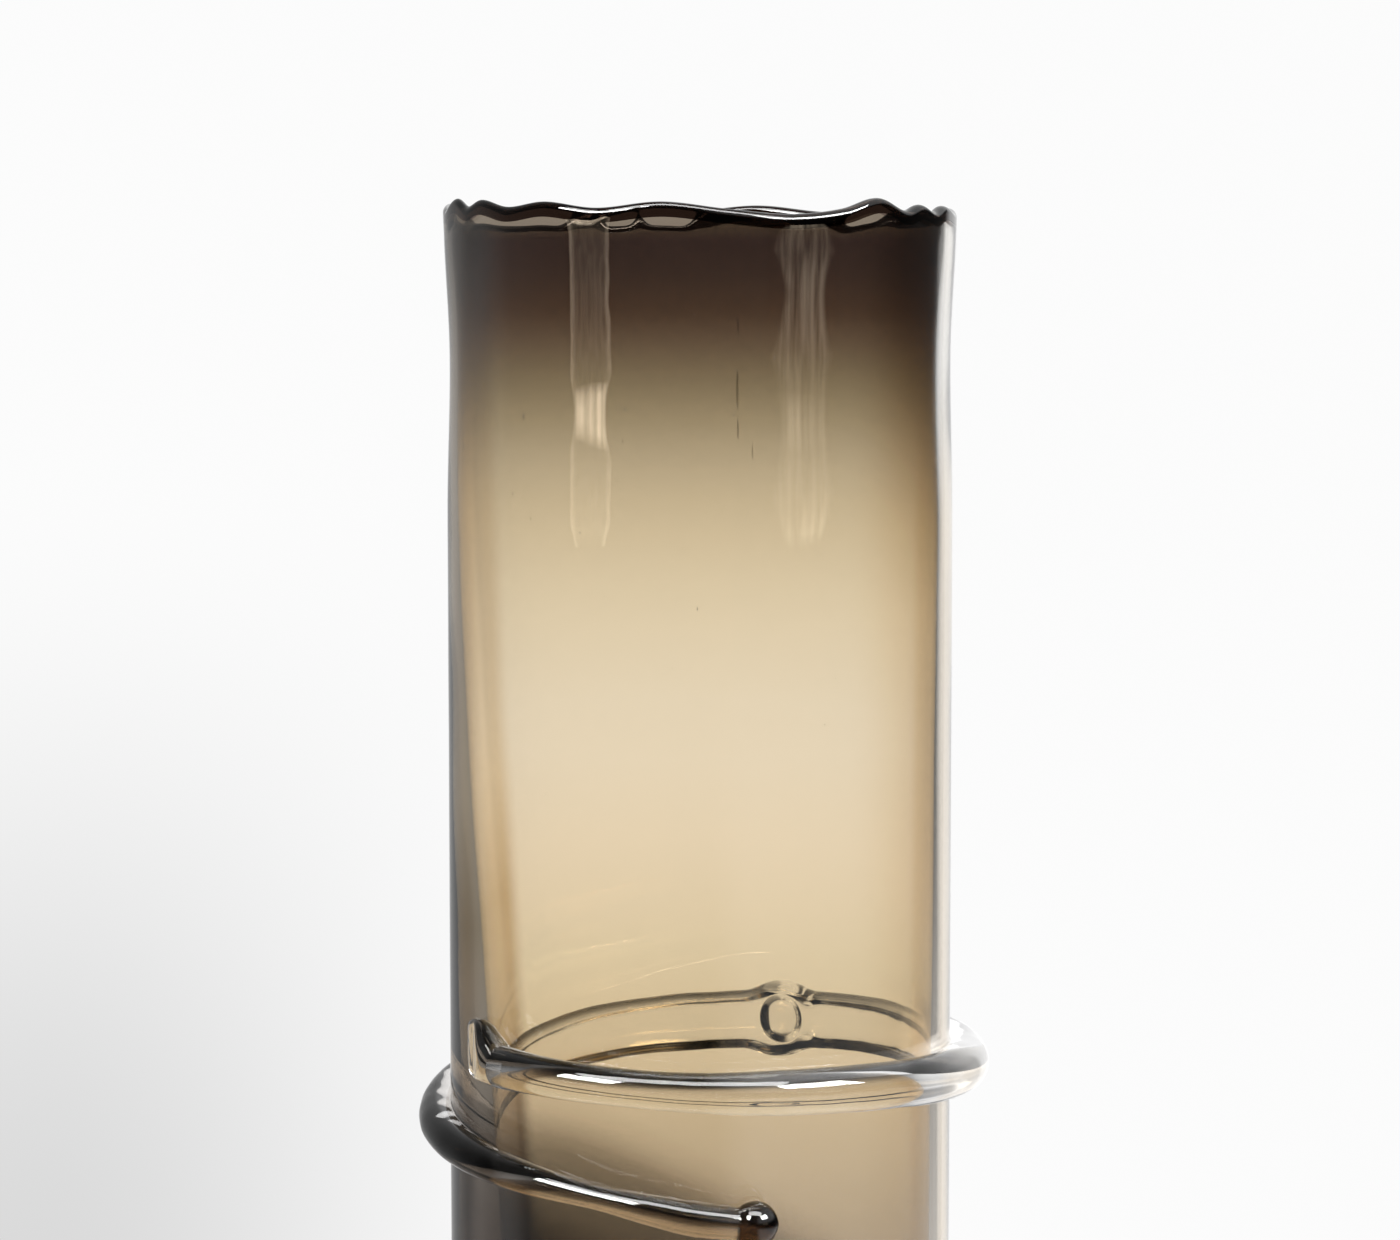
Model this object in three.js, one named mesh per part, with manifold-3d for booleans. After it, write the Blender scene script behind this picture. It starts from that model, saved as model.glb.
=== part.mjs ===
// A hand-blown glass cylinder vase: a smoke-brown liner cased in thick clear glass, a shear-cut
// and fire-polished lip, and a rope of clear hot glass laid once and a bit round the lower part.
// Millimetres, +Z up, origin at the middle of the ground foot. A turn is an angle in degrees
// about the axis: 0 is the front (-Y), 90 is +X, and the trail sinks as the turn grows.
import * as THREE from "three";
import { mergeVertices } from "three/addons/utils/BufferGeometryUtils.js";
import Module from "manifold-3d";

const wasm = await Module();
wasm.setup();

// Vessel
const height = 300; // foot to the mean level of the lip
const bodyRadius = 60; // outside of the casing
const wallAtLip = 2.6; // casing and liner together, mean round the rim
const wallAtFoot = 8.6;
const sag = 1.5; // above 1, the wall stays thin for longer below the lip
const linerThickness = 0.8;
const floorThickness = 14; // inner floor above the foot
const heelRadius = 8; // outside, from the foot up into the wall
const floorFillet = 10; // inside, from the floor up into the wall
const boreShiftAtLip = -0.6; // the bore isn't centred in the gather: it leans towards +X
const boreShiftAtFoot = 2.9;
const lipFlare = 0.6; // the lip opens a little, above a slight neck
const neckPinch = 0.7;
const neckDrop = 37; // neck below the lip
const seatGap = 0.3; // between pieces that are fused on the real vase

// Lip: [turn, rise] at each crest and dip that the shears left, before fire polishing
const beadOver = 0.15; // the polished bead stands this proud of the wall, inside and out
const lipDepth = 25; // the waves of the lip have died out this far below it
const lipWave = [
  [-80, -0.9], [-70, 1.6], [-63, -0.2], [-57, 1.3], [-47, -0.3], [-36, 0.9], [-23, -0.5],
  [-8, 0.9], [6, -0.7], [20, -1.9], [33, -0.7], [43, 1.7], [52, -1.1], [58, 0.2], [65, -1.5],
  [71, -0.1], [82, -1.6], [96, -0.6], [112, -1.7], [130, -0.9], [148, -1.6], [166, 0],
  [182, -1.4], [200, -0.8], [216, -1.7], [234, -0.9], [250, -1.3], [264, 0.4],
];

// Trail: [turn, level below or above trailHeight, share of rodRadius] at a few stations
const trailHeight = 97; // middle of the rod at +X
const rodRadius = 5;
const rodSink = 0.5; // the rod's middle stands this share of its radius off the wall
const trailStations = [
  [-47, 5, 1], [-36, 4.4, 0.92], [-20, 3.7, 0.87], [0, 2.8, 0.92], [20, 2.3, 1.05],
  [40, 1.5, 1.1], [60, 0, 1.14], [90, -1.3, 1.26], [135, -2.4, 1.4], [180, -5.6, 1.46],
  [225, -9.5, 1.3], [270, -14.5, 1.02], [300, -17.8, 0.88], [320, -20.1, 0.74],
  [338, -22.6, 0.57], [350, -24.6, 0.72], [358, -26.2, 0.8], [368, -27.5, 0.76],
];

// Ends of the trail, and the drop on its back
const knobTurn = 371.7;
const knobOver = 1.4; // the knob's radius, beyond the rod that it ends
const tipTurn = -54.5;
const tipRise = 7.3; // above trailHeight
const tipWidth = 18;
const tipHeight = 14.8;
const tipProud = 6;
const tipLean = 4; // degrees, the top leans on past the end of the rod
const pruntTurn = 161;
const pruntOver = 2.3; // the drop's skin over the rod that it sits on

const radialSteps = 64;
const rodSides = 12;
const rodStep = 8; // degrees of turn

const rad = THREE.MathUtils.degToRad;

function cubicThrough(rows, column) {
  const at = rows.map((row) => row[0]);
  const values = rows.map((row) => row[column]);
  const curve = new THREE.CubicInterpolant(at, values, 1);
  return (turn) => curve.evaluate(turn)[0];
}

function inTurns(x, y) {
  return THREE.MathUtils.radToDeg(Math.atan2(x, -y));
}

function onTurn(turn, radius, z) {
  const a = rad(turn);
  return new THREE.Vector3(radius * Math.sin(a), -radius * Math.cos(a), z);
}

// The wave closes on itself: the last dips of one round lead into the first of the next.
const [firstWave, lastWave] = [lipWave[0], lipWave.at(-1)];
const waveRound = cubicThrough([
  [lastWave[0] - 360, lastWave[1]],
  ...lipWave,
  [firstWave[0] + 360, firstWave[1]],
], 1);

function lipRise(turn) {
  const start = firstWave[0];
  return waveRound(start + THREE.MathUtils.euclideanModulo(turn - start, 360));
}

// The share of the way down from the lip to the foot: the gather sagged, so it grows late
function downShare(z) {
  return THREE.MathUtils.smoothstep(height - z, 0, height) ** sag;
}

function wallAt(z) {
  return THREE.MathUtils.lerp(wallAtLip, wallAtFoot, downShare(z));
}

function boreShiftAt(z) {
  return THREE.MathUtils.lerp(boreShiftAtLip, boreShiftAtFoot, downShare(z));
}

function lean(z) {
  const neck = height - neckDrop;
  if (z < neck) return -neckPinch * THREE.MathUtils.smoothstep(z, neck - neckDrop, neck);
  return THREE.MathUtils.lerp(-neckPinch, lipFlare, THREE.MathUtils.smoothstep(z, neck, height));
}

function arc(centreX, centreY, radius, from, to, steps) {
  return new THREE.EllipseCurve(centreX, centreY, radius, radius, rad(from), rad(to))
    .getPoints(steps);
}

// A lathe's geometry turned upright, with the part's own places for its points.
function revolve(profile, place) {
  const geometry = new THREE.LatheGeometry(profile, radialSteps).rotateX(Math.PI / 2);
  const position = geometry.getAttribute("position");
  const point = new THREE.Vector3();
  for (let i = 0; i < position.count; i++) {
    place(point.fromBufferAttribute(position, i));
    position.setXYZ(i, point.x, point.y, point.z);
  }
  geometry.computeVertexNormals();
  return geometry;
}

// The flat seat of the lip bead, where casing and liner end
const seatHalf = wallAtLip / 2;
const beadRadius = seatHalf + beadOver;
const seatDrop = Math.sqrt(beadRadius ** 2 - seatHalf ** 2);
const wallTop = height - beadRadius - seatDrop - seatGap;

const wallLevels = [0.22, 0.45, 0.68, 0.86, 0.95, 1];

// Heights of the wall's rings, from the top of a rounded foot up to the seat of the bead
function levelsAbove(bottom) {
  return wallLevels.map((share) => THREE.MathUtils.lerp(bottom, wallTop, share));
}

// The inside of a cup `inset` further out than the bore, from the axis up to the lip
function cupProfile(inset) {
  const floor = floorThickness - inset;
  const wallBottom = floorThickness + floorFillet;
  const radius = (z) => bodyRadius - wallAt(z) + inset + lean(z);
  const fillet = floorFillet + inset;
  const corner = arc(radius(wallBottom) - fillet, wallBottom, fillet, 270, 360, 4);
  return [
    new THREE.Vector2(0, floor),
    ...corner,
    ...levelsAbove(wallBottom).map((z) => new THREE.Vector2(radius(z), z)),
  ];
}

function shiftWithBore(point) {
  point.x += boreShiftAt(point.z);
}

function liftWithLip(point) {
  const share = THREE.MathUtils.smoothstep(point.z, height - lipDepth, wallTop);
  point.z += lipRise(inTurns(point.x, point.y)) * share;
}

function casingGeometry() {
  const cup = cupProfile(linerThickness + seatGap);
  const heel = arc(bodyRadius - heelRadius, heelRadius, heelRadius, 270, 360, 4);
  const outside = [
    new THREE.Vector2(0, 0),
    ...heel,
    ...levelsAbove(heelRadius).map((z) => new THREE.Vector2(bodyRadius + lean(z), z)),
  ];
  return revolve([...outside, ...cup.toReversed()], (point) => {
    const radius = Math.hypot(point.x, point.y);
    const bore = bodyRadius - wallAt(point.z) + linerThickness + seatGap + lean(point.z);
    const inside = point.z > floorThickness / 2 && radius < bore + seatGap;
    if (inside) shiftWithBore(point);
    liftWithLip(point);
  });
}

function linerGeometry() {
  const profile = [...cupProfile(linerThickness), ...cupProfile(0).toReversed()];
  return revolve(profile, (point) => {
    shiftWithBore(point);
    liftWithLip(point);
  });
}

function beadGeometry() {
  const open = THREE.MathUtils.radToDeg(Math.asin(seatHalf / beadRadius));
  const middle = bodyRadius + lipFlare - seatHalf;
  const section = arc(middle, height - beadRadius, beadRadius, open - 90, 270 - open, 7);
  return revolve([...section, section[0].clone()], (point) => {
    point.x += boreShiftAtLip / 2;
    point.z += lipRise(inTurns(point.x, point.y));
  });
}

function solid(geometry) {
  const bare = geometry.clone().deleteAttribute("normal").deleteAttribute("uv");
  const merged = mergeVertices(bare, 1e-3);
  return new wasm.Manifold(new wasm.Mesh({
    numProp: 3,
    vertProperties: new Float32Array(merged.getAttribute("position").array),
    triVerts: new Uint32Array(merged.index.array),
  }));
}

function geometryOf(manifold) {
  const { vertProperties, triVerts } = manifold.getMesh();
  const geometry = new THREE.BufferGeometry()
    .setAttribute("position", new THREE.BufferAttribute(vertProperties, 3))
    .setIndex(new THREE.BufferAttribute(triVerts, 1));
  geometry.computeVertexNormals();
  return geometry;
}

// What the casing's wall fills, and the gap in front of it: hot glass is laid against this.
const wallCutter = solid(
  new THREE.CylinderGeometry(bodyRadius + seatGap, bodyRadius + seatGap, height, radialSteps)
    .rotateX(Math.PI / 2)
    .translate(0, 0, height / 2),
);

const dropThrough = cubicThrough(trailStations, 1);
const shareThrough = cubicThrough(trailStations, 2);
const coilStart = trailStations[0][0];
const coilEnd = trailStations.at(-1)[0];

// The middle of the rod, and its radius, at a turn; past the rod's end it stays as it is there
function levelAt(turn) {
  return trailHeight + dropThrough(Math.min(turn, coilEnd));
}

function girthAt(turn) {
  return rodRadius * shareThrough(turn);
}

// A straight rod bent round the vessel: its length follows the turn, its section stays upright.
function rodSolid(swell) {
  const steps = Math.ceil((coilEnd - coilStart) / rodStep);
  const geometry = new THREE.CylinderGeometry(1, 1, 1, rodSides, steps);
  const position = geometry.getAttribute("position");
  const local = new THREE.Vector3();
  for (let i = 0; i < position.count; i++) {
    local.fromBufferAttribute(position, i);
    const turn = THREE.MathUtils.lerp(coilStart, coilEnd, local.y + 0.5);
    const girth = girthAt(turn);
    const reach = bodyRadius + rodSink * girth + local.x * (girth + swell);
    const z = levelAt(turn) + local.z * (girth + swell);
    const placed = onTurn(turn, reach, z);
    position.setXYZ(i, placed.x, placed.y, placed.z);
  }
  return solid(geometry);
}

// A ball squashed to width, height and how far it stands off the wall, laid on the wall
function dropSolid(turn, z, width, tall, proud, leanDegrees = 0) {
  const radial = proud / (1 + rodSink);
  const sunk = rodSink * radial;
  const geometry = new THREE.SphereGeometry(1, 16, 10)
    .scale(width / 2, radial, tall / 2)
    .rotateY(rad(-leanDegrees))
    .translate(0, -(bodyRadius + sunk), 0)
    .rotateZ(rad(turn))
    .translate(0, 0, z);
  return solid(geometry);
}

// Everything beyond a turn of the vessel, starting seatGap past it; `side` is 1 onwards, -1 back
function beyondTurn(turn, side) {
  const size = 2 * height;
  return solid(
    new THREE.BoxGeometry(size, size, size)
      .translate(side * (size / 2 + seatGap), 0, 0)
      .rotateZ(rad(turn)),
  );
}

function coilGeometry() {
  return geometryOf(rodSolid(0).subtract(wallCutter));
}

function knobGeometry() {
  const radius = girthAt(coilEnd) + knobOver;
  const proud = radius * (1 + rodSink);
  return geometryOf(
    dropSolid(knobTurn, levelAt(knobTurn), 2 * radius, 2 * radius, proud)
      .subtract(wallCutter)
      .intersect(beyondTurn(coilEnd, 1)),
  );
}

function tipGeometry() {
  return geometryOf(
    dropSolid(tipTurn, trailHeight + tipRise, tipWidth, tipHeight, tipProud, tipLean)
      .subtract(wallCutter)
      .intersect(beyondTurn(coilStart, -1)),
  );
}

function pruntGeometry() {
  const radius = girthAt(pruntTurn) + pruntOver;
  const proud = girthAt(pruntTurn) * (1 + rodSink) + pruntOver;
  return geometryOf(
    dropSolid(pruntTurn, levelAt(pruntTurn), 2 * radius, 2 * radius, proud)
      .subtract(wallCutter)
      .subtract(rodSolid(seatGap)),
  );
}

const clearGlass = { color: 0xe4e8e8, roughness: 0.03, metalness: 0 };
const smokeGlass = { color: 0xc2a97f, roughness: 0.05, metalness: 0 };
const darkSmokeGlass = { color: 0x3a2c24, roughness: 0.05, metalness: 0 };

function piece(name, geometry, finish) {
  const mesh = new THREE.Mesh(geometry, new THREE.MeshStandardMaterial(finish));
  mesh.name = name;
  return mesh;
}

const vessel = new THREE.Group();
vessel.add(
  piece("clear_casing", casingGeometry(), clearGlass),
  piece("smoke_liner", linerGeometry(), smokeGlass),
  piece("lip_bead", beadGeometry(), darkSmokeGlass),
);

const trail = new THREE.Group();
trail.add(
  piece("trail_coil", coilGeometry(), clearGlass),
  piece("trail_start_knob", knobGeometry(), clearGlass),
  piece("trail_sheared_tip", tipGeometry(), clearGlass),
  piece("rear_prunt", pruntGeometry(), clearGlass),
);

const vase = new THREE.Group();
vase.add(vessel, trail);

export default vase;
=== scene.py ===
import random
from bisect import bisect_right
from math import atan2, cos, degrees, hypot, pi, radians, sin, sqrt, tau

import bmesh
import bpy
from mathutils import Matrix, Vector, noise


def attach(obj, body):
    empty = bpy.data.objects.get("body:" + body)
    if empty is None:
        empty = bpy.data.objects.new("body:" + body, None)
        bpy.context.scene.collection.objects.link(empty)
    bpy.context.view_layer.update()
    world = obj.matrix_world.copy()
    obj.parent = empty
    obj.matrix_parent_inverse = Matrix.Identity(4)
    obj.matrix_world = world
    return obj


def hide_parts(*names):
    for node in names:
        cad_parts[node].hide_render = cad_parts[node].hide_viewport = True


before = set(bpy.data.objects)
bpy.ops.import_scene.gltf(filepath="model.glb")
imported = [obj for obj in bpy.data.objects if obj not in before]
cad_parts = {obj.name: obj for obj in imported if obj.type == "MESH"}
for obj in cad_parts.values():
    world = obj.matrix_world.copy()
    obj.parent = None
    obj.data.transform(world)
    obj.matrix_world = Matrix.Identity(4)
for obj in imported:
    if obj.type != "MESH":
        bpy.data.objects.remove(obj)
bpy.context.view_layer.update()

# A hand-blown glass cylinder vase: smoke glass cased in clear, a sheared and fire-polished lip,
# and a rope of clear hot glass laid round the lower part. Metres, +Z up. A turn is an angle in
# degrees about the axis: 0 is the front (-Y), 90 is +X.
mm = 0.001


# Small helpers

def linear(hexColour):
    # sRGB hex to the linear colour that nodes take
    channels = [int(hexColour[i:i + 2], 16) / 255 for i in (1, 3, 5)]
    return (*[c / 12.92 if c <= 0.04045 else ((c + 0.055) / 1.055) ** 2.4 for c in channels], 1)


def lerp(a, b, share):
    return a + (b - a) * share


def smoothstep(x, low, high):
    t = min(max((x - low) / (high - low), 0), 1)
    return t * t * (3 - 2 * t)


def cubicThrough(rows, column):
    # a smooth curve through rows of [turn, value, ...]; at a row its slope is the mean of the
    # slopes on both sides
    at = [row[0] for row in rows]
    values = [row[column] for row in rows]
    chords = [(values[i + 1] - values[i]) / (at[i + 1] - at[i]) for i in range(len(at) - 1)]
    slopes = [chords[0]] + [(a + b) / 2 for a, b in zip(chords, chords[1:])] + [chords[-1]]

    def valueAt(turn):
        i = min(max(bisect_right(at, turn) - 1, 0), len(at) - 2)
        span = at[i + 1] - at[i]
        p = (turn - at[i]) / span
        return (
            (2 * p ** 3 - 3 * p ** 2 + 1) * values[i]
            + (p ** 3 - 2 * p ** 2 + p) * span * slopes[i]
            + (3 * p ** 2 - 2 * p ** 3) * values[i + 1]
            + (p ** 3 - p ** 2) * span * slopes[i + 1]
        )

    return valueAt


def inTurns(x, y):
    return degrees(atan2(x, -y))


def onTurn(turn, radius, z):
    a = radians(turn)
    return Vector((radius * sin(a), -radius * cos(a), z))


def arc(centreX, centreZ, radius, start, end, steps):
    angles = [radians(lerp(start, end, i / steps)) for i in range(steps + 1)]
    return [(centreX + radius * cos(a), centreZ + radius * sin(a)) for a in angles]


def addNode(tree, kind, inputs=None, **settings):
    # one node, with its settings, and its inputs set to a value or linked from another's output
    node = tree.nodes.new("ShaderNode" + kind)
    for name, value in settings.items():
        setattr(node, name, value)
    for socket, value in (inputs or {}).items():
        if isinstance(value, bpy.types.NodeSocket):
            tree.links.new(value, node.inputs[socket])
        else:
            node.inputs[socket].default_value = value
    return node


def setRamp(node, stops):
    # stops are (place from 0 to 1, linear colour), in order
    elements = node.color_ramp.elements
    while len(elements) < len(stops):
        elements.new(0.5)
    for element, (place, colour) in zip(elements, stops):
        element.position = place
        element.color = colour


def greys(stops):
    # stops of (place, brightness) as stops of grey
    return [(place, (light, light, light, 1)) for place, light in stops]


def newMaterial(name):
    material = bpy.data.materials.new(name)
    material.use_nodes = True
    material.node_tree.nodes.clear()
    return material, material.node_tree


def makeMesh(bm, name, materials):
    mesh = bpy.data.meshes.new(name)
    bm.to_mesh(mesh)
    bm.free()
    for material in materials:
        mesh.materials.append(material)
    piece = bpy.data.objects.new(name, mesh)
    bpy.context.scene.collection.objects.link(piece)
    return piece


def finishPiece(bm, name, materials):
    bmesh.ops.recalc_face_normals(bm, faces=bm.faces)
    piece = makeMesh(bm, name, materials)
    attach(piece, "root")
    return piece


# Camera: level with the lip, a little over a metre away

view = {
    "distance": 1043 * mm,        # from the axis
    "height": 300 * mm,
    "down": 5.39,                 # degrees below level
    "lens": 113,
}


def addCamera():
    camera = bpy.data.objects.new("camera", bpy.data.cameras.new("camera"))
    camera.data.lens = view["lens"]
    camera.data.clip_start = 0.01
    camera.location = (0, -view["distance"], view["height"])
    camera.rotation_euler = (radians(90 - view["down"]), 0, 0)
    bpy.context.scene.collection.objects.link(camera)
    bpy.context.scene.camera = camera


addCamera()
print("camera set")


# Glass: heights in its lists are in mm, and each colour is what the glass lets by

glass = {
    "ior": 1.52,                  # soda-lime
    "iorOfAir": 0.658,            # air met from inside the glass, 1 / 1.52
    "top": 305 * mm,              # above every height in the lists
    # smoke: (height, colour of the front and back wall together)
    "smoke": [
        (22, "#3a2c22"), (32, "#a8937a"), (66, "#c4ae8b"), (80, "#d6be98"), (97, "#dfc69d"),
        (112, "#e4cfa6"), (140, "#f5dfbb"), (175, "#f7e5c6"), (205, "#eedab6"), (226, "#dac59f"),
        (240, "#bfac8a"), (251, "#9e8c6c"), (260, "#7f6e53"), (268, "#65523f"), (275, "#4b382a"),
        (284, "#3b2c24"), (292, "#352722"), (296, "#46392b"), (300, "#46392b"),
    ],
    # painted shadow: the vase's shadow on the floor, seen through the glass, is painted into the
    # tint low on one side: (tilted height, share it lets by)
    "paintedShadow": [(22, 0.05), (36, 0.06), (44, 0.13), (48, 0.27), (54, 0.72), (60, 0.96), (66, 1)],
    "paintedShadowTilt": 0.5,              # it rises towards -X by this slope
    "paintedShadowCast": (0.92, 0.86),     # green and blue beside red, the darker it is the nearer to this
    # painted reflection: the casing on the side where the wall is thickest is tinted dark brown for
    # the dark room reflected in the band along its edge, and where on X that begins and is full
    "edgeReflectionTint": [
        (60, "#463a31"), (80, "#6e5f50"), (100, "#b29c80"), (116, "#c4a882"), (130, "#b89c70"),
        (160, "#e4cfae"), (200, "#dccdb8"), (232, "#e4d6c2"), (250, "#d0c2b0"), (266, "#b4a696"),
        (290, "#80786f"),
    ],
    "edgeReflectionFrom": -50 * mm,
    "edgeReflectionFull": -55 * mm,
    # the casing opposite, seen through its edge
    "thinSide": [(60, "#ecdfcc"), (225, "#efe2cf"), (262, "#fbf7f0")],
    "thinFrom": 55 * mm,
    "thinFull": 58 * mm,
    # the smoke looks denser towards that side
    "edgeSmoke": [
        (60, "#f6efe4"), (200, "#f8efe2"), (222, "#ebe0cf"), (240, "#d4c4b0"), (262, "#b8a48e"),
        (285, "#9c8672"),
    ],
    "edgeFrom": 36 * mm,
    "edgeFull": 54 * mm,
    # the trail's lower lap is tinted darker: painted shade for the dark smoke base that it shows by
    # refraction
    "lapPaintedShade": [(70, "#d3c8be"), (78, "#e0d8d0"), (86, "#ffffff")],
    # painted glow: the trail gives off light towards +X
    "paintedGlowFrom": 55 * mm,          # where on X the trail begins to melt into the backdrop
    "paintedGlowFull": 67 * mm,
    "paintedGlowStrength": 0.3,              # emission strength where it has
    # painted shade: the knob's near-black tint stands in for the dark base seen through it
    "knob": "#5b493d",
    "lip": "#241812",
    "clear": "#ffffff",
}


def pointOn(tree):
    # X, Y and Z of the shaded point, in the piece's own frame
    place = addNode(tree, "TexCoord")
    parts = addNode(tree, "SeparateXYZ", {"Vector": place.outputs["Object"]})
    return parts.outputs


def heightRamp(tree, z, stops):
    # a colour for each height
    level = addNode(tree, "MapRange", {"Value": z, "From Max": glass["top"]})
    ramp = addNode(tree, "ValToRGB", {"Fac": level.outputs["Result"]})
    setRamp(ramp, [(height * mm / glass["top"], linear(colour)) for height, colour in stops])
    return ramp.outputs["Color"]


def glassShader(tree, colour, ior=glass["ior"]):
    shader = addNode(tree, "BsdfPrincipled", {
        "Base Color": colour,
        "Roughness": 0.0,
        "IOR": ior,
        "Transmission Weight": 1,
    })
    addNode(tree, "OutputMaterial", {"Surface": shader.outputs["BSDF"]})
    return shader


def casingGlass():
    # Blown soda-lime glass over the smoke: colourless and glossy, with a brown cast at both sides,
    # where the eye looks along the wall; at -X the cast is darkened as painted reflection of the
    # dark room
    material, tree = newMaterial("clear_soda_lime_casing")
    point = pointOn(tree)
    # painted reflection: towards -X the casing takes the dark tint of the room seen in its edge
    # band
    edgeReflectionShare = addNode(tree, "MapRange", {
        "Value": point["X"], "From Min": glass["edgeReflectionFrom"], "From Max": glass["edgeReflectionFull"],
    }, interpolation_type="SMOOTHSTEP")
    thin = addNode(tree, "MapRange", {
        "Value": point["X"], "From Min": glass["thinFrom"], "From Max": glass["thinFull"],
    }, interpolation_type="SMOOTHSTEP")
    opposite = addNode(tree, "Mix", {
        0: thin.outputs["Result"],
        6: linear(glass["clear"]),
        7: heightRamp(tree, point["Z"], glass["thinSide"]),
    }, data_type="RGBA")
    tintWithEdgeReflection = addNode(tree, "Mix", {
        0: edgeReflectionShare.outputs["Result"],
        6: opposite.outputs[2],
        7: heightRamp(tree, point["Z"], glass["edgeReflectionTint"]),
    }, data_type="RGBA")
    glassShader(tree, tintWithEdgeReflection.outputs[2])
    return material


def clearGlass():
    # Hot clear glass trailed on: glossy and colourless, with painted shade on its lower lap
    material, tree = newMaterial("clear_trailed_glass")
    point = pointOn(tree)
    shader = glassShader(tree, heightRamp(tree, point["Z"], glass["lapPaintedShade"]))
    # painted glow: where the rod turns away at +X it would gather so much light that it melts into
    # the backdrop, so it is given an emission there
    paintedGlow = addNode(tree, "MapRange", {
        "Value": point["X"], "From Min": glass["paintedGlowFrom"], "From Max": glass["paintedGlowFull"],
        "To Max": glass["paintedGlowStrength"],
    }, interpolation_type="SMOOTHSTEP")
    tree.links.new(paintedGlow.outputs["Result"], shader.inputs["Emission Strength"])
    return material


def knobGlassPaintedDark():
    # The folded end of the trail: its tint is painted near black, painted shade for the dark smoke
    # base that the ball shows by refraction; it takes one highlight
    material, tree = newMaterial("trailed_glass_painted_dark")
    glassShader(tree, linear(glass["knob"]))
    return material


def smokeGlass():
    # Blown smoke-brown glass: dark at the lip and the foot, where it is thick, and honey between,
    # with a painted shadow low on the -X side
    material, tree = newMaterial("blown_smoke_brown_glass")
    point = pointOn(tree)
    # painted shadow: the vase's shadow on the floor, as seen through the glass, darkens the tint
    # low on the -X side
    tilted = addNode(tree, "Math", {0: point["X"], 1: glass["paintedShadowTilt"], 2: point["Z"]},
                     operation="MULTIPLY_ADD")
    first, last = glass["paintedShadow"][0][0] * mm, glass["paintedShadow"][-1][0] * mm
    reach = addNode(tree, "MapRange", {
        "Value": tilted.outputs["Value"], "From Min": first, "From Max": last,
    })
    paintedShadow = addNode(tree, "ValToRGB", {"Fac": reach.outputs["Result"]})
    stops = []
    for height, share in glass["paintedShadow"]:
        green, blue = [share * lerp(least, 1, share) for least in glass["paintedShadowCast"]]
        stops.append(((height * mm - first) / (last - first), (share, green, blue, 1)))
    setRamp(paintedShadow, stops)
    withPaintedShadow = addNode(tree, "Mix", {
        0: 1.0,
        6: heightRamp(tree, point["Z"], glass["smoke"]),
        7: paintedShadow.outputs["Color"],
    }, data_type="RGBA", blend_type="MULTIPLY")
    edge = addNode(tree, "MapRange", {
        "Value": point["X"], "From Min": glass["edgeFrom"], "From Max": glass["edgeFull"],
    }, interpolation_type="SMOOTHSTEP")
    dense = addNode(tree, "Mix", {
        0: edge.outputs["Result"],
        6: linear(glass["clear"]),
        7: heightRamp(tree, point["Z"], glass["edgeSmoke"]),
    }, data_type="RGBA")
    tint = addNode(tree, "Mix", {0: 1.0, 6: withPaintedShadow.outputs[2], 7: dense.outputs[2]},
                   data_type="RGBA", blend_type="MULTIPLY")
    glassShader(tree, tint.outputs[2])
    return material


def lipGlass():
    # The same smoke glass gathered into the fire-polished bead: nearly black, with sharp highlights
    material, tree = newMaterial("fire_polished_smoke_glass")
    glassShader(tree, linear(glass["lip"]))
    return material


def airInGlass():
    # A bubble of air shut in the glass: seen from the glass it bends light the other way
    material, tree = newMaterial("air_bubble_in_soda_lime")
    glassShader(tree, linear(glass["clear"]), glass["iorOfAir"])
    return material


casing = casingGlass()
clear = clearGlass()
knobPaintedDark = knobGlassPaintedDark()
smoke = smokeGlass()
lip = lipGlass()
air = airInGlass()
print("glass mixed")


# Vessel

vessel = {
    "height": 300 * mm,           # foot to the mean level of the lip
    "radius": 60 * mm,
    "wallAtLip": 2.6 * mm,
    "wallAtFoot": 8.6 * mm,
    "sag": 1.5,                   # above 1, the wall stays thin for longer below the lip
    "floorThickness": 14 * mm,
    "heelRadius": 8 * mm,
    "floorFillet": 10 * mm,
    "boreShiftAtLip": -0.6 * mm,  # the bore isn't centred in the gather
    "boreShiftAtFoot": 2.9 * mm,
    "lipFlare": 0.6 * mm,
    "neckPinch": 0.7 * mm,
    "neckDrop": 37 * mm,          # the neck is narrowest this far below the lip
    "beadOver": 0.15 * mm,        # the bead stands this proud of the wall, inside and out
    "beadFade": 5.5 * mm,         # and thins into it over this height
    "darkBelow": 2 * mm,          # the bead is black to this far under its middle
    "waveDepth": 25 * mm,         # the lip's wave has died out this far down
    "wobble": 0.06 * mm,          # how far the blown wall strays from true
    "wobbleLength": 30 * mm,
    "wobbleFull": 25 * mm,        # the foot is true, and the wall strays in full from this height
    "boreNoise": 4.2,             # the bore reads the noise this far on, so it strays by itself
    "steps": 360,                 # round the axis
    "levels": 80,                 # up each side of the wall
    "crowding": 1.8,              # above 1, the levels stand closer near the lip
    "heelSteps": 8,
    "beadSteps": 14,
}
beadRadius = vessel["wallAtLip"] / 2 + vessel["beadOver"]
beadLevel = vessel["height"] - beadRadius     # middle of the bead

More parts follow.
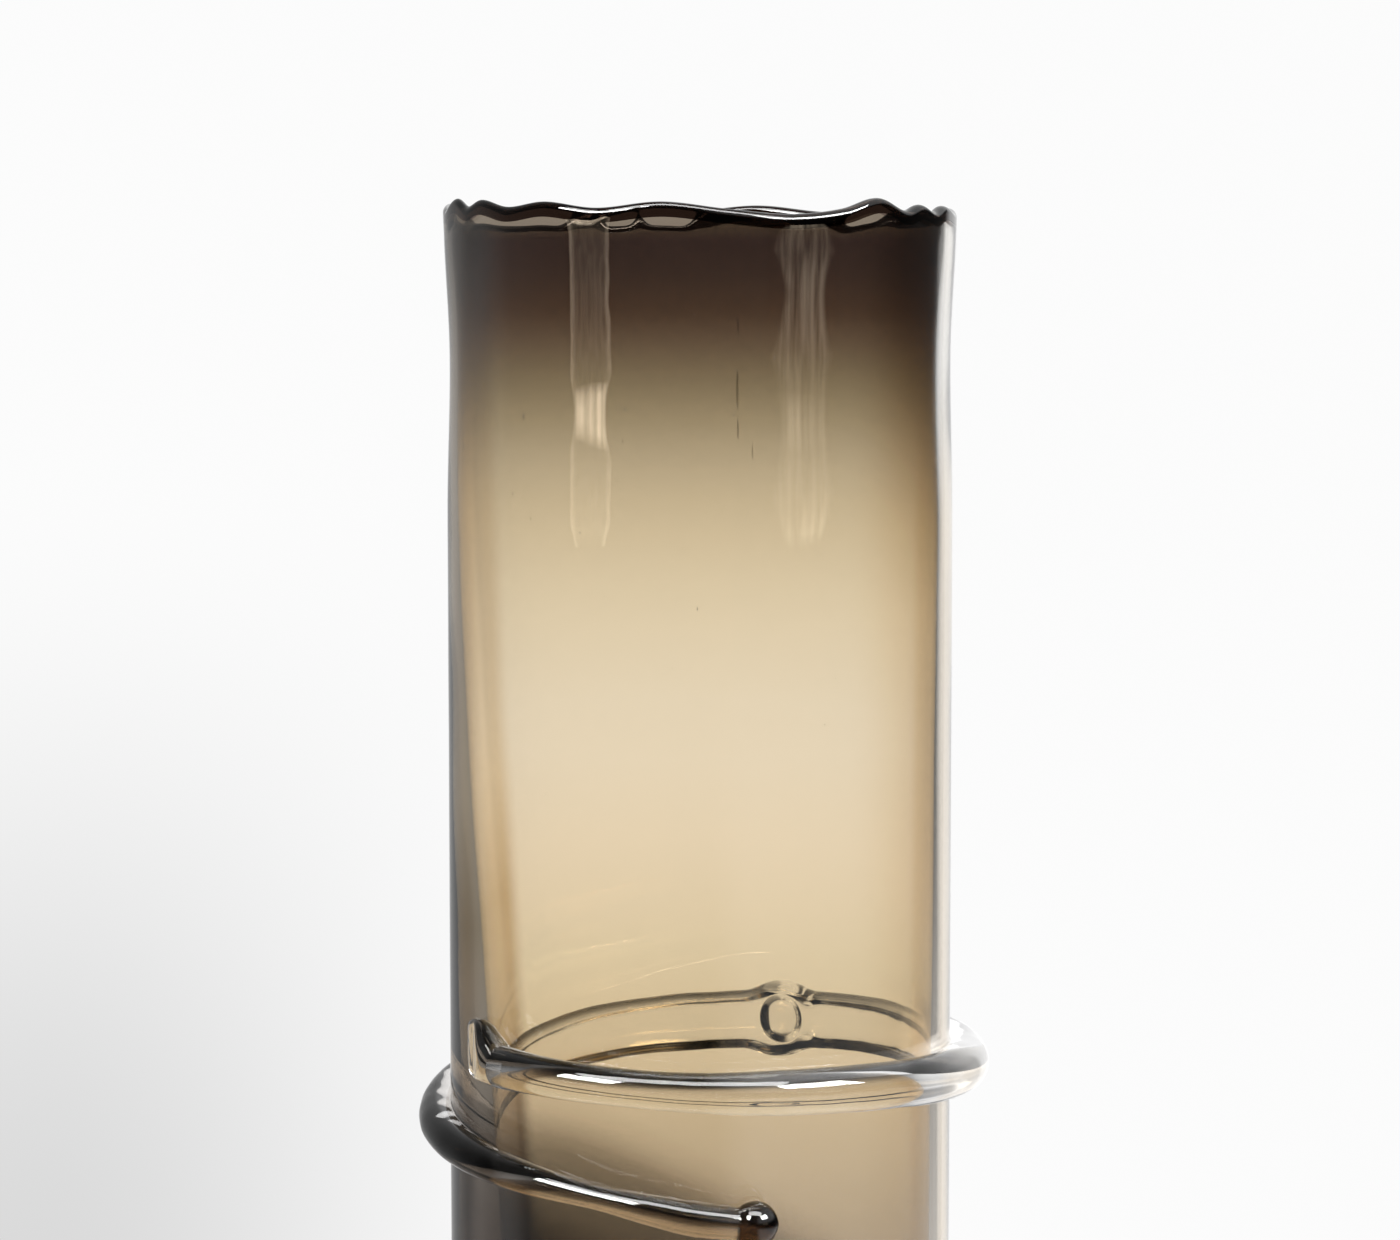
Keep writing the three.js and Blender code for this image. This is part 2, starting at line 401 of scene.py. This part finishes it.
# Lip: [turn, rise in mm] at each crest and dip that the shears left, before fire polishing
lipWave = [
    [-80, -0.9], [-70, 1.6], [-63, -0.2], [-57, 1.3], [-47, -0.3], [-36, 0.9], [-23, -0.5],
    [-8, 0.9], [6, -0.7], [20, -1.9], [33, -0.7], [43, 1.7], [52, -1.1], [58, 0.2], [65, -1.5],
    [71, -0.1], [82, -1.6], [96, -0.6], [112, -1.7], [130, -0.9], [148, -1.6], [166, 0],
    [182, -1.4], [200, -0.8], [216, -1.7], [234, -0.9], [250, -1.3], [264, 0.4],
]

# Bead: [turn, share of the swell under it]; it is full where the lip was sheared high
beadShares = [
    [-84, 0.6], [-74, 1.1], [-60, 1.1], [-44, 1], [-33, 0.9], [-27, 0.25], [-23, 0.25],
    [-19.5, 0.95], [-15, 0.95], [-12.6, 0.3], [-10, 1], [-4, 1], [0, 0.3], [6, 0.15], [30, 0.15],
    [34, 0.9], [41, 1], [45.5, 0.2], [60, 0.15], [120, 0.3], [200, 0.3], [260, 0.45],
]

waveRound = cubicThrough(
    [[lipWave[-1][0] - 360, lipWave[-1][1]], *lipWave, [lipWave[0][0] + 360, lipWave[0][1]]], 1)


def lipRise(turn):
    start = lipWave[0][0]
    return waveRound(start + (turn - start) % 360) * mm


def aroundLip(rows, turn):
    # along rows of [turn, share], one smooth step at a time, all the way round
    start = rows[0][0]
    turn = start + (turn - start) % 360
    closed = [*rows, [start + 360, rows[0][1]]]
    for (fromTurn, a), (toTurn, b) in zip(closed, closed[1:]):
        if turn <= toTurn:
            return lerp(a, b, smoothstep(turn, fromTurn, toTurn))


def downShare(z):
    return smoothstep(vessel["height"] - z, 0, vessel["height"]) ** vessel["sag"]


def wallAt(z):
    return lerp(vessel["wallAtLip"], vessel["wallAtFoot"], downShare(z))


def boreShiftAt(z):
    return lerp(vessel["boreShiftAtLip"], vessel["boreShiftAtFoot"], downShare(z))


def lean(z):
    neck = vessel["height"] - vessel["neckDrop"]
    if z < neck:
        return -vessel["neckPinch"] * smoothstep(z, neck - vessel["neckDrop"], neck)
    return lerp(-vessel["neckPinch"], vessel["lipFlare"], smoothstep(z, neck, vessel["height"]))


def beadSwell(z):
    # how much the bead adds to each side of the wall, down its fillet
    return smoothstep(z, beadLevel - vessel["beadFade"], beadLevel) * vessel["beadOver"]


def boreAt(z):
    return vessel["radius"] + lean(z) - wallAt(z) - beadSwell(z)


def vesselProfile():
    # (radius, z) from the middle of the foot up the outside, over the lip and down to the floor
    v = vessel
    heel, fillet = v["heelRadius"], v["floorFillet"]
    wallBottom = v["floorThickness"] + fillet
    beadCentre = v["radius"] + lean(beadLevel) - wallAt(beadLevel) / 2
    rise = [1 - (1 - i / v["levels"]) ** v["crowding"] for i in range(1, v["levels"])]
    outside = [lerp(heel, beadLevel, share) for share in rise]
    inside = [lerp(wallBottom, beadLevel, share) for share in reversed(rise)]
    ring = v["radius"] / 3        # the faces round the axis end here
    return [
        (0, 0),
        (ring, 0),
        *arc(v["radius"] - heel, heel, heel, -90, 0, v["heelSteps"]),
        *[(v["radius"] + lean(z) + beadSwell(z), z) for z in outside],
        *arc(beadCentre, beadLevel, beadRadius, 0, 180, v["beadSteps"]),
        *[(boreAt(z), z) for z in inside],
        *arc(boreAt(wallBottom) - fillet, wallBottom, fillet, 0, -90, v["heelSteps"]),
        (ring, v["floorThickness"]),
        (0, v["floorThickness"]),
    ]


def sortGlass(bm):
    # clear casing outside, smoke on the bore and the floor, and the dark bead round the lip
    for face in bm.faces:
        middle = face.calc_center_median()
        inward = face.normal.x * middle.x + face.normal.y * middle.y < 0
        onFloor = face.normal.z > 0.5 and middle.z < beadLevel / 2
        face.material_index = 1 if inward or onFloor else 0
        if middle.z > beadLevel - vessel["darkBelow"]:
            face.material_index = 2
        face.smooth = True


def blowByHand(bm):
    # the wall strays from true, the bead swells unevenly, the bore is off centre and the lip waves
    v = vessel
    for vert in bm.verts:
        co = vert.co
        radius = hypot(co.x, co.y)
        turn = inTurns(co.x, co.y)
        wallMiddle = v["radius"] + lean(co.z) - wallAt(co.z) / 2
        inside = radius < wallMiddle and co.z > v["floorThickness"] / 2
        boreShare = 1 if inside else 0
        if co.z >= beadLevel:
            boreShare = smoothstep(wallMiddle - radius, -beadRadius, beadRadius)
        apart = Vector((0, 0, v["boreNoise"] if inside else 0))
        stray = noise.noise(co / v["wobbleLength"] + apart)
        stray *= v["wobble"] * smoothstep(co.z, 0, v["wobbleFull"])
        swell = (aroundLip(beadShares, turn) - 1) * beadSwell(co.z) * (1 - 2 * boreShare)
        if radius > 0:
            co.xy *= 1 + (stray + swell) / radius
        co.x += boreShiftAt(co.z) * boreShare
        co.z += lipRise(turn) * smoothstep(co.z, v["height"] - v["waveDepth"], beadLevel)


def makeVessel():
    bm = bmesh.new()
    profile = [bm.verts.new((radius, 0, z)) for radius, z in vesselProfile()]
    line = [bm.edges.new(pair) for pair in zip(profile, profile[1:])]
    bmesh.ops.spin(bm, geom=profile + line, cent=(0, 0, 0), axis=(0, 0, 1), dvec=(0, 0, 0),
                   angle=tau, steps=vessel["steps"], use_merge=True, use_duplicate=False)
    bmesh.ops.remove_doubles(bm, verts=bm.verts, dist=0.001 * mm)
    bmesh.ops.recalc_face_normals(bm, faces=bm.faces)
    sortGlass(bm)
    blowByHand(bm)
    return finishPiece(bm, "vessel", [casing, smoke, lip])


body = makeVessel()
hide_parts("clear_casing", "smoke_liner", "lip_bead")
print("vessel blown")


# Trail

trail = {
    "height": 97 * mm,            # middle of the rod at +X
    "rod": 5 * mm,                # radius
    "sink": 0.5,                  # the rod's middle stands this share of its radius off the wall
    "bite": 0.2 * mm,             # how deep its back is fused into the wall
    "sides": 44,
    "step": 1.4,                  # degrees of turn from one section to the next
    "overlap": 0.05,              # degrees that the knob and the tip reach into the coil
    "unevenness": 0.035,          # share of the girth by which a hand-drawn rod varies
    "waves": [(17, 1, 3.1), (6, 0.5, 7.7)],   # how: (degrees of turn, size, place in the noise)
    "evenFor": 12,                # degrees from its start until it varies in full
    "pruntTurn": 161,
    "pruntOver": 2.3 * mm,
    "pruntTop": 1,                # degrees of turn from its middle to the end of its top
    "pruntSpan": 9.5,             # and to where it has died out
    "knobTurn": 371.7,
    "knobOver": 1.4 * mm,
    "knobBlend": 0.9,             # degrees over which the rod becomes the knob
    "knobEnd": 0.02 * mm,         # radius that it closes to
    "knobSteps": 30,
    "tipStep": 0.35,              # degrees of turn
    "tipCut": 0.35,               # the shears left its front flat, at this share of its depth
    "tipCutTo": -57,              # turn where the flat begins to round off
    "tipRoundFrom": -49,          # and where the tip is as round as the rod
}

# [turn, level beside the trail's height in mm, share of the rod's radius]
trailStations = [
    [-47, 5, 1], [-36, 4.4, 0.92], [-20, 3.7, 0.87], [0, 2.8, 0.92], [20, 2.3, 1.05],
    [40, 1.5, 1.1], [60, 0, 1.14], [90, -1.3, 1.26], [135, -2.4, 1.4], [180, -5.6, 1.46],
    [225, -9.5, 1.3], [270, -14.5, 1.02], [300, -17.8, 0.88], [320, -20.1, 0.74],
    [338, -22.6, 0.57], [350, -24.6, 0.72], [358, -26.2, 0.8], [368, -27.5, 0.76],
]

# Sheared end: [turn, level, half its height, how far it stands off the wall], in mm
tipStations = [
    [-63.6, 8.6, 0.5, 0.6], [-63, 8.3, 2.6, 1.8], [-61.5, 7.9, 4.9, 3], [-59.5, 7.6, 6.4, 4.4],
    [-56.5, 7.7, 7.05, 5.8], [-53, 7.3, 7.1, 6.8], [-50, 6.2, 6.1, 7.3], [-47, 5, 5, 7.5],
]

dropThrough = cubicThrough(trailStations, 1)
shareThrough = cubicThrough(trailStations, 2)
coilStart, coilEnd = trailStations[0][0], trailStations[-1][0]


def levelAt(turn):
    return trail["height"] + dropThrough(turn) * mm


def girthAt(turn):
    return trail["rod"] * shareThrough(turn)


def contactRadius(z):
    return vessel["radius"] + lean(z) - trail["bite"]


def drawnSection(turn):
    # (level, half height, how far it stands off, where its front is cut flat) of the drawn rod
    t = trail
    wave = sum(size * noise.noise(Vector((turn / span, row, 0))) for span, size, row in t["waves"])
    girth = girthAt(turn)
    girth *= 1 + t["unevenness"] * wave * smoothstep(abs(turn - coilStart), 0, t["evenFor"])
    bump = 1 - smoothstep(abs(turn - t["pruntTurn"]), t["pruntTop"], t["pruntSpan"])
    tall = girth + t["pruntOver"] * bump
    proud = girth * (1 + t["sink"]) + t["pruntOver"] * bump
    return levelAt(turn), tall, proud, 1


def knobSection(turn):
    # a ball on the end of the rod, with a crease where it was folded back on itself
    t = trail
    ball = girthAt(coilEnd) + t["knobOver"]
    reach = vessel["radius"] + t["sink"] * ball
    ahead = radians(turn - t["knobTurn"]) * reach
    half = sqrt(max(ball ** 2 - ahead ** 2, t["knobEnd"] ** 2))
    level, rodHalf, rodProud, uncut = drawnSection(coilEnd)
    share = smoothstep(turn, coilEnd, coilEnd + t["knobBlend"])
    return level, lerp(rodHalf, half, share), lerp(rodProud, t["sink"] * ball + half, share), uncut


tipLevel, tipHalf, tipProud = [cubicThrough(tipStations, column) for column in (1, 2, 3)]


def tipSection(turn):
    cut = lerp(trail["tipCut"], 1, smoothstep(turn, trail["tipCutTo"], trail["tipRoundFrom"]))
    return trail["height"] + tipLevel(turn) * mm, tipHalf(turn) * mm, tipProud(turn) * mm, cut


def makeRod(name, sectionAt, turns, material):
    # a straight rod, cut across at each turn and bent round the vessel, its back sunk in the wall
    bm = bmesh.new()
    bmesh.ops.create_cone(bm, cap_ends=True, segments=trail["sides"], radius1=1, radius2=1,
                          depth=len(turns) - 1)
    lengthwise = [edge for edge in bm.edges if abs(edge.verts[0].co.z - edge.verts[1].co.z) > 0.5]
    bmesh.ops.subdivide_edges(bm, edges=lengthwise, cuts=len(turns) - 2, use_grid_fill=True)
    for face in bm.faces:
        face.smooth = abs(face.normal.z) < 0.5
    for edge in bm.edges:
        edge.smooth = all(face.smooth for face in edge.link_faces)
    for vert in bm.verts:
        across, up, along = vert.co
        turn = turns[round(along + (len(turns) - 1) / 2)]
        level, half, proud, cut = sectionAt(turn)
        radial = proud / (1 + trail["sink"])
        z = level + up * half
        reach = vessel["radius"] + (trail["sink"] + min(across, cut)) * radial
        vert.co = onTurn(turn, max(reach, contactRadius(z)), z)
    return finishPiece(bm, name, [material])


def evenTurns(start, end, step):
    count = round((end - start) / step)
    return [lerp(start, end, i / count) for i in range(count + 1)]


def knobTurns():
    # close together where the ball rounds off
    t = trail
    ball = girthAt(coilEnd) + t["knobOver"]
    span = degrees(ball / (vessel["radius"] + t["sink"] * ball))
    start, end = coilEnd - t["overlap"], t["knobTurn"] + span
    return [lerp(start, end, sin(i / t["knobSteps"] * pi / 2)) for i in range(t["knobSteps"] + 1)]


coilTurns = evenTurns(coilStart, coilEnd, trail["step"])
tipTurns = evenTurns(tipStations[0][0], coilStart + trail["overlap"], trail["tipStep"])

coil = makeRod("trail_coil_drawn", drawnSection, coilTurns, clear)
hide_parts("trail_coil", "rear_prunt")
knob = makeRod("trail_knob_folded", knobSection, knobTurns(), knobPaintedDark)
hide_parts("trail_start_knob")
tip = makeRod("trail_tip_sheared", tipSection, tipTurns, clear)
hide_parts("trail_sheared_tip")
print("trail laid")


# Air in the glass

bubble = {
    "radius": 6.4 * mm,           # shut in the prunt
    "flatness": 0.8,              # its depth as a share of its width
    "out": 0.47,                  # share of the way from the wall to the rod's front
    "subdivisions": 5,
}

seeds = {
    "seed": 11,
    "count": 70,                  # fine bubbles left by the melt, drawn out up the wall
    "smallest": 0.07 * mm,
    "largest": 0.2 * mm,
    "lowest": 120 * mm,
    "highest": 290 * mm,
    "depth": (0.3, 0.6),          # share of the wall
    "stretch": (1, 2.6),
    # a few long ones: [turn, height in mm, half length in mm, radius in mm]
    "long": [
        [8.3, 273, 2.6, 0.14], [8.2, 259, 4.6, 0.2], [8.3, 250, 2.4, 0.16],
        [11.5, 245, 1.8, 0.12], [-43, 252, 0.9, 0.2],
    ],
    "longDepth": 0.4,
}


def addBall(bm, place, size, subdivisions):
    # size is across, through the wall and up
    outward = Vector((place.x, place.y, 0)).to_track_quat("Y", "Z").to_matrix().to_4x4()
    matrix = Matrix.Translation(place) @ outward @ Matrix.Diagonal((*size, 1))
    bmesh.ops.create_icosphere(bm, subdivisions=subdivisions, radius=1, matrix=matrix)


def finishBubbles(bm, name):
    for face in bm.faces:
        face.smooth = True
    finishPiece(bm, name, [air])


def makeTrappedBubble():
    b = bubble
    turn = trail["pruntTurn"]
    level, tall, proud, uncut = drawnSection(turn)
    out = vessel["radius"] + lerp(trail["bite"], proud, b["out"])
    size = (b["radius"], b["radius"] * b["flatness"], b["radius"])
    bm = bmesh.new()
    addBall(bm, onTurn(turn, out, level), size, b["subdivisions"])
    finishBubbles(bm, "trapped_bubble")


def makeSeeds():
    s = seeds
    draw = random.Random(s["seed"])
    bm = bmesh.new()
    for _ in range(s["count"]):
        turn = draw.uniform(-180, 180)
        z = lerp(s["lowest"], s["highest"], sqrt(draw.random()))
        radius = lerp(s["smallest"], s["largest"], draw.random() ** 2)
        depth = wallAt(z) * draw.uniform(*s["depth"])
        place = onTurn(turn, vessel["radius"] + lean(z) - depth, z)
        addBall(bm, place, (radius, radius, radius * draw.uniform(*s["stretch"])), 1)
    for turn, height, halfLength, radius in s["long"]:
        z = height * mm
        place = onTurn(turn, vessel["radius"] + lean(z) - wallAt(z) * s["longDepth"], z)
        addBall(bm, place, (radius * mm, radius * mm, halfLength * mm), 2)
    finishBubbles(bm, "seeds")


makeTrappedBubble()
makeSeeds()
print("bubbles shut in")


# Studio: sizes and places in metres; a range is where a change begins and where it is full

studio = {
    "backdrop": 1.0,              # what shines through the glass
    "white": 0.97,                # the sweep as the eye sees it
    "grey": 0.70,                 # its far side, low on the left
    "greyAcross": (-0.02, -0.15),     # by X of the direction looked in
    "greyDown": (-0.06, -0.24),       # and by its Z
    # the room as reflections see it: (degrees from +Y towards +X, brightness)
    "room": [
        (-180, 0.015), (-110, 0.03), (-85, 0.08), (-60, 0.25), (-38, 0.33), (-14, 0.5), (-5, 0.95),
        (30, 1.0), (37, 0.05), (90, 0.02), (180, 0.015),
    ],
    "ceiling": 0.08,              # brightness overhead
    "ceilingUp": (0.2, 0.5),
    "darkest": 0.05,              # share of the room's light that is left underfoot
    "darkestUp": (-0.75, -0.35),
    "rightGlow": 0.95,            # brightness above and below towards +X
    "glowAcross": (0.05, 0.35),
    "glowUp": (0.1, 0.4),         # from level, up or down
    "aim": 0.2,                   # height that the softboxes point at
}

# [name, turn, rise in degrees, distance, width, height, radiance, seen through the glass]
softboxes = [
    ["softbox_above", -8, 62, 1.2, 1.4, 0.5, 13, True],
    ["softbox_left", -48, 34, 1.3, 0.55, 0.45, 42, False],
    ["softbox_right", 52, 34, 1.3, 0.8, 0.45, 42, False],
]

floor = {
    "radius": 1,
    "paint": "#f4f4f2",
    # painted shadow of the vase round its foot
    "paintedFootShadow": "#1a1714",      # near the foot, as it is seen through the glass
    "pale": (0.12, 0.2),          # distance from the axis where that ends
    "fade": (0.08, 0.22),         # and where the floor fades into the backdrop
}

# The lamp heads, as their reflections show them. "outline" is (share of the way up, half width),
# "rim" is (share of the way out, light) and "fill" is (share of the way up, light).
lampLeft = {
    "turn": -49,
    "width": 0.42,
    "low": 0.15,
    "high": 0.256,
    "outline": [(0, 0.6), (0.15, 0.82), (0.8, 0.85), (0.9, 0.66), (1, 0.5)],
    "rim": [(0.7, 0), (0.88, 0.12), (0.94, 0.12), (1, 0)],
    "fill": [(0, 0), (0.1, 0.06), (0.3, 0.04), (0.84, 0.03), (0.9, 0.5), (1, 0.55)],
    "streaks": (6, 2),            # how many across and up
    "dimmest": 0.6,               # light between the streaks
}
lampRight = {
    "turn": 46,
    "width": 0.62,
    "low": 0.15,
    "high": 0.26,
    "outline": [(0, 0.5), (0.5, 0.9), (0.85, 0.7), (1, 0.5)],
    "rim": [(0, 0), (1, 0)],
    "fill": [(0, 0), (0.1, 0.12), (0.4, 0.07), (0.84, 0.06), (0.92, 0.16), (1, 0.2)],
    "streaks": (6, 0.6),
    "dimmest": 0.1,
}
lamps = {
    "colour": "#ffe9cc",
    "strength": 16.0,
    "distance": 1,
    "softEdge": [(0, 1), (0.75, 1), (1, 0)],
    "patches": (0.35, 0.65),      # noise that is dimmest and brightest
    "brightest": 1.3,
}


def addWorld():
    # a bright sweep behind the vase; reflections see a dark room round it
    s = studio
    world = bpy.data.worlds.new("studio")
    bpy.context.scene.world = world
    world.use_nodes = True
    tree = world.node_tree
    tree.nodes.clear()
    place = addNode(tree, "TexCoord")
    parts = addNode(tree, "SeparateXYZ", {"Vector": place.outputs["Generated"]})
    x, y, z = [parts.outputs[axis] for axis in "XYZ"]
    path = addNode(tree, "LightPath")

    # the sweep: nearly white, greyer low on the left
    left = addNode(tree, "MapRange", {
        "Value": x, "From Min": s["greyAcross"][0], "From Max": s["greyAcross"][1],
    }, interpolation_type="SMOOTHSTEP")
    low = addNode(tree, "MapRange", {
        "Value": z, "From Min": s["greyDown"][0], "From Max": s["greyDown"][1],
    }, interpolation_type="SMOOTHSTEP")
    shade = addNode(tree, "Math", {0: left.outputs["Result"], 1: low.outputs["Result"]},
                    operation="MULTIPLY")
    sweep = addNode(tree, "MapRange", {
        "Value": shade.outputs["Value"], "To Min": s["white"], "To Max": s["grey"],
    })
    seen = addNode(tree, "Mix", {
        0: path.outputs["Is Camera Ray"], 2: s["backdrop"], 3: sweep.outputs["Result"],
    }, data_type="FLOAT")

    # the room: bright behind the vase, dark at the sides, overhead and underfoot
    angle = addNode(tree, "Math", {0: x, 1: y}, operation="ARCTAN2")
    heading = addNode(tree, "MapRange", {
        "Value": angle.outputs["Value"], "From Min": -pi, "From Max": pi,
    })
    walls = addNode(tree, "ValToRGB", {"Fac": heading.outputs["Result"]})
    setRamp(walls, greys([((turn + 180) / 360, light) for turn, light in s["room"]]))
    overhead = addNode(tree, "MapRange", {
        "Value": z, "From Min": s["ceilingUp"][0], "From Max": s["ceilingUp"][1],
        "To Max": s["ceiling"],
    }, interpolation_type="SMOOTHSTEP")
    underfoot = addNode(tree, "MapRange", {
        "Value": z, "From Min": s["darkestUp"][0], "From Max": s["darkestUp"][1],
        "To Min": s["darkest"],
    }, interpolation_type="SMOOTHSTEP")
    upper = addNode(tree, "Math", {0: walls.outputs["Color"], 1: overhead.outputs["Result"]},
                    operation="MAXIMUM")
    room = addNode(tree, "Math", {0: upper.outputs["Value"], 1: underfoot.outputs["Result"]},
                   operation="MULTIPLY")

    # the side towards +X is bright above and below, where only the rods turn light
    slant = addNode(tree, "Math", {0: z}, operation="ABSOLUTE")
    slanted = addNode(tree, "MapRange", {
        "Value": slant.outputs["Value"], "From Min": s["glowUp"][0], "From Max": s["glowUp"][1],
    }, interpolation_type="SMOOTHSTEP")
    toRight = addNode(tree, "MapRange", {
        "Value": x, "From Min": s["glowAcross"][0], "From Max": s["glowAcross"][1],
        "To Max": s["rightGlow"],
    })
    glow = addNode(tree, "Math", {0: slanted.outputs["Result"], 1: toRight.outputs["Result"]},
                   operation="MULTIPLY")
    reflected = addNode(tree, "Math", {0: room.outputs["Value"], 1: glow.outputs["Value"]},
                        operation="MAXIMUM")

    bounced = addNode(tree, "Math", {0: path.outputs["Glossy Depth"], 1: 0.5},
                      operation="GREATER_THAN")
    mix = addNode(tree, "Mix", {
        0: bounced.outputs["Value"], 2: seen.outputs[0], 3: reflected.outputs["Value"],
    }, data_type="FLOAT")
    light = addNode(tree, "Background", {"Color": mix.outputs[0], "Strength": 1})
    addNode(tree, "OutputWorld", {"Surface": light.outputs["Background"]})


def addFloor():
    # a plain pale sweep, with a painted shadow round the foot that every ray but the camera's sees:
    # it fades into the backdrop, and reflections pass it by
    f = floor
    bm = bmesh.new()
    bmesh.ops.create_circle(bm, cap_ends=True, segments=96, radius=f["radius"])
    material, tree = newMaterial("pale_painted_floor")
    place = addNode(tree, "TexCoord")
    path = addNode(tree, "LightPath")
    reach = addNode(tree, "VectorMath", {0: place.outputs["Object"]}, operation="LENGTH")
    # painted shadow: within 'pale' of the axis the floor is dark to all but camera rays, so through
    # the glass it shows as the vase's shadow
    beyond = addNode(tree, "MapRange", {
        "Value": reach.outputs["Value"], "From Min": f["pale"][0], "From Max": f["pale"][1],
    }, interpolation_type="SMOOTHSTEP")
    pale = addNode(tree, "Math", {0: beyond.outputs["Result"], 1: path.outputs["Is Camera Ray"]},
                   operation="MAXIMUM")
    paint = addNode(tree, "Mix", {
        0: pale.outputs["Value"], 6: linear(f["paintedFootShadow"]), 7: linear(f["paint"]),
    }, data_type="RGBA")
    shader = addNode(tree, "BsdfPrincipled", {
        "Base Color": paint.outputs[2], "Roughness": 0.9, "Specular IOR Level": 0.1,
    })
    fade = addNode(tree, "MapRange", {
        "Value": reach.outputs["Value"], "From Min": f["fade"][0], "From Max": f["fade"][1],
    }, interpolation_type="SMOOTHERSTEP")
    bounced = addNode(tree, "Math", {0: path.outputs["Glossy Depth"], 1: 0.5},
                      operation="GREATER_THAN")
    gone = addNode(tree, "Math", {0: fade.outputs["Result"], 1: bounced.outputs["Value"]},
                   operation="MAXIMUM")
    nothing = addNode(tree, "BsdfTransparent")
    mix = addNode(tree, "MixShader", {
        0: gone.outputs["Value"], 1: shader.outputs["BSDF"], 2: nothing.outputs["BSDF"],
    })
    addNode(tree, "OutputMaterial", {"Surface": mix.outputs["Shader"]})
    makeMesh(bm, "floor", [material])


def addSoftbox(name, turn, rise, distance, width, height, radiance, seenThrough):
    # the eye doesn't see it, and paint isn't lit by it; one is also seen through the glass
    light = bpy.data.lights.new(name, "AREA")
    light.shape = "RECTANGLE"
    light.size, light.size_y = width, height
    light.energy = radiance * pi * width * height
    lamp = bpy.data.objects.new(name, light)
    aim = Vector((0, 0, studio["aim"]))
    lamp.location = aim + onTurn(turn, distance * cos(radians(rise)), distance * sin(radians(rise)))
    lamp.rotation_euler = (aim - lamp.location).to_track_quat("-Z", "Y").to_euler()
    lamp.visible_camera = False
    lamp.visible_diffuse = False
    lamp.visible_transmission = seenThrough
    bpy.context.scene.collection.objects.link(lamp)


def makeLamp(name, lamp):
    # an upright card beside the camera, seen only in reflections, brightest at its top
    bm = bmesh.new()
    bmesh.ops.create_grid(bm, x_segments=1, y_segments=1, size=1)
    material, tree = newMaterial(name)
    place = addNode(tree, "TexCoord")
    parts = addNode(tree, "SeparateXYZ", {"Vector": place.outputs["Object"]})
    up = addNode(tree, "MapRange", {"Value": parts.outputs["Y"], "From Min": -1})
    half = addNode(tree, "ValToRGB", {"Fac": up.outputs["Result"]})
    setRamp(half, greys(lamp["outline"]))
    side = addNode(tree, "Math", {0: parts.outputs["X"]}, operation="ABSOLUTE")
    reach = addNode(tree, "Math", {0: side.outputs["Value"], 1: half.outputs["Color"]},
                    operation="DIVIDE")
    rim = addNode(tree, "ValToRGB", {"Fac": reach.outputs["Value"]})
    setRamp(rim, greys(lamp["rim"]))
    inside = addNode(tree, "ValToRGB", {"Fac": reach.outputs["Value"]})
    setRamp(inside, greys(lamps["softEdge"]))
    fill = addNode(tree, "ValToRGB", {"Fac": up.outputs["Result"]})
    setRamp(fill, greys(lamp["fill"]))
    lit = addNode(tree, "Math", {
        0: inside.outputs["Color"], 1: fill.outputs["Color"], 2: rim.outputs["Color"],
    }, operation="MULTIPLY_ADD")
    stretched = addNode(tree, "Mapping", {
        "Vector": place.outputs["Object"], "Scale": (*lamp["streaks"], 1),
    })
    streaks = addNode(tree, "TexNoise", {
        "Vector": stretched.outputs["Vector"], "Scale": 1.0, "Detail": 3.0,
    })
    patchy = addNode(tree, "MapRange", {
        "Value": streaks.outputs["Fac"],
        "From Min": lamps["patches"][0], "From Max": lamps["patches"][1],
        "To Min": lamp["dimmest"], "To Max": lamps["brightest"],
    })
    both = addNode(tree, "Math", {0: lit.outputs["Value"], 1: patchy.outputs["Result"]},
                   operation="MULTIPLY")
    power = addNode(tree, "Math", {0: both.outputs["Value"], 1: lamps["strength"]},
                    operation="MULTIPLY")
    shine = addNode(tree, "Emission", {
        "Color": linear(lamps["colour"]), "Strength": power.outputs["Value"],
    })
    addNode(tree, "OutputMaterial", {"Surface": shine.outputs["Emission"]})
    card = makeMesh(bm, name, [material])
    card.location = onTurn(lamp["turn"], lamps["distance"], (lamp["low"] + lamp["high"]) / 2)
    card.rotation_euler = (pi / 2, 0, radians(lamp["turn"]))
    card.scale = (lamp["width"] / 2, (lamp["high"] - lamp["low"]) / 2, 1)
    card.visible_camera = False
    card.visible_diffuse = False
    card.visible_transmission = False
    card.visible_shadow = False


addFloor()
addWorld()
for softbox in softboxes:
    addSoftbox(*softbox)
makeLamp("lamp_left", lampLeft)
makeLamp("lamp_right", lampRight)
bpy.context.scene.view_settings.view_transform = "Standard"
print("studio lit")
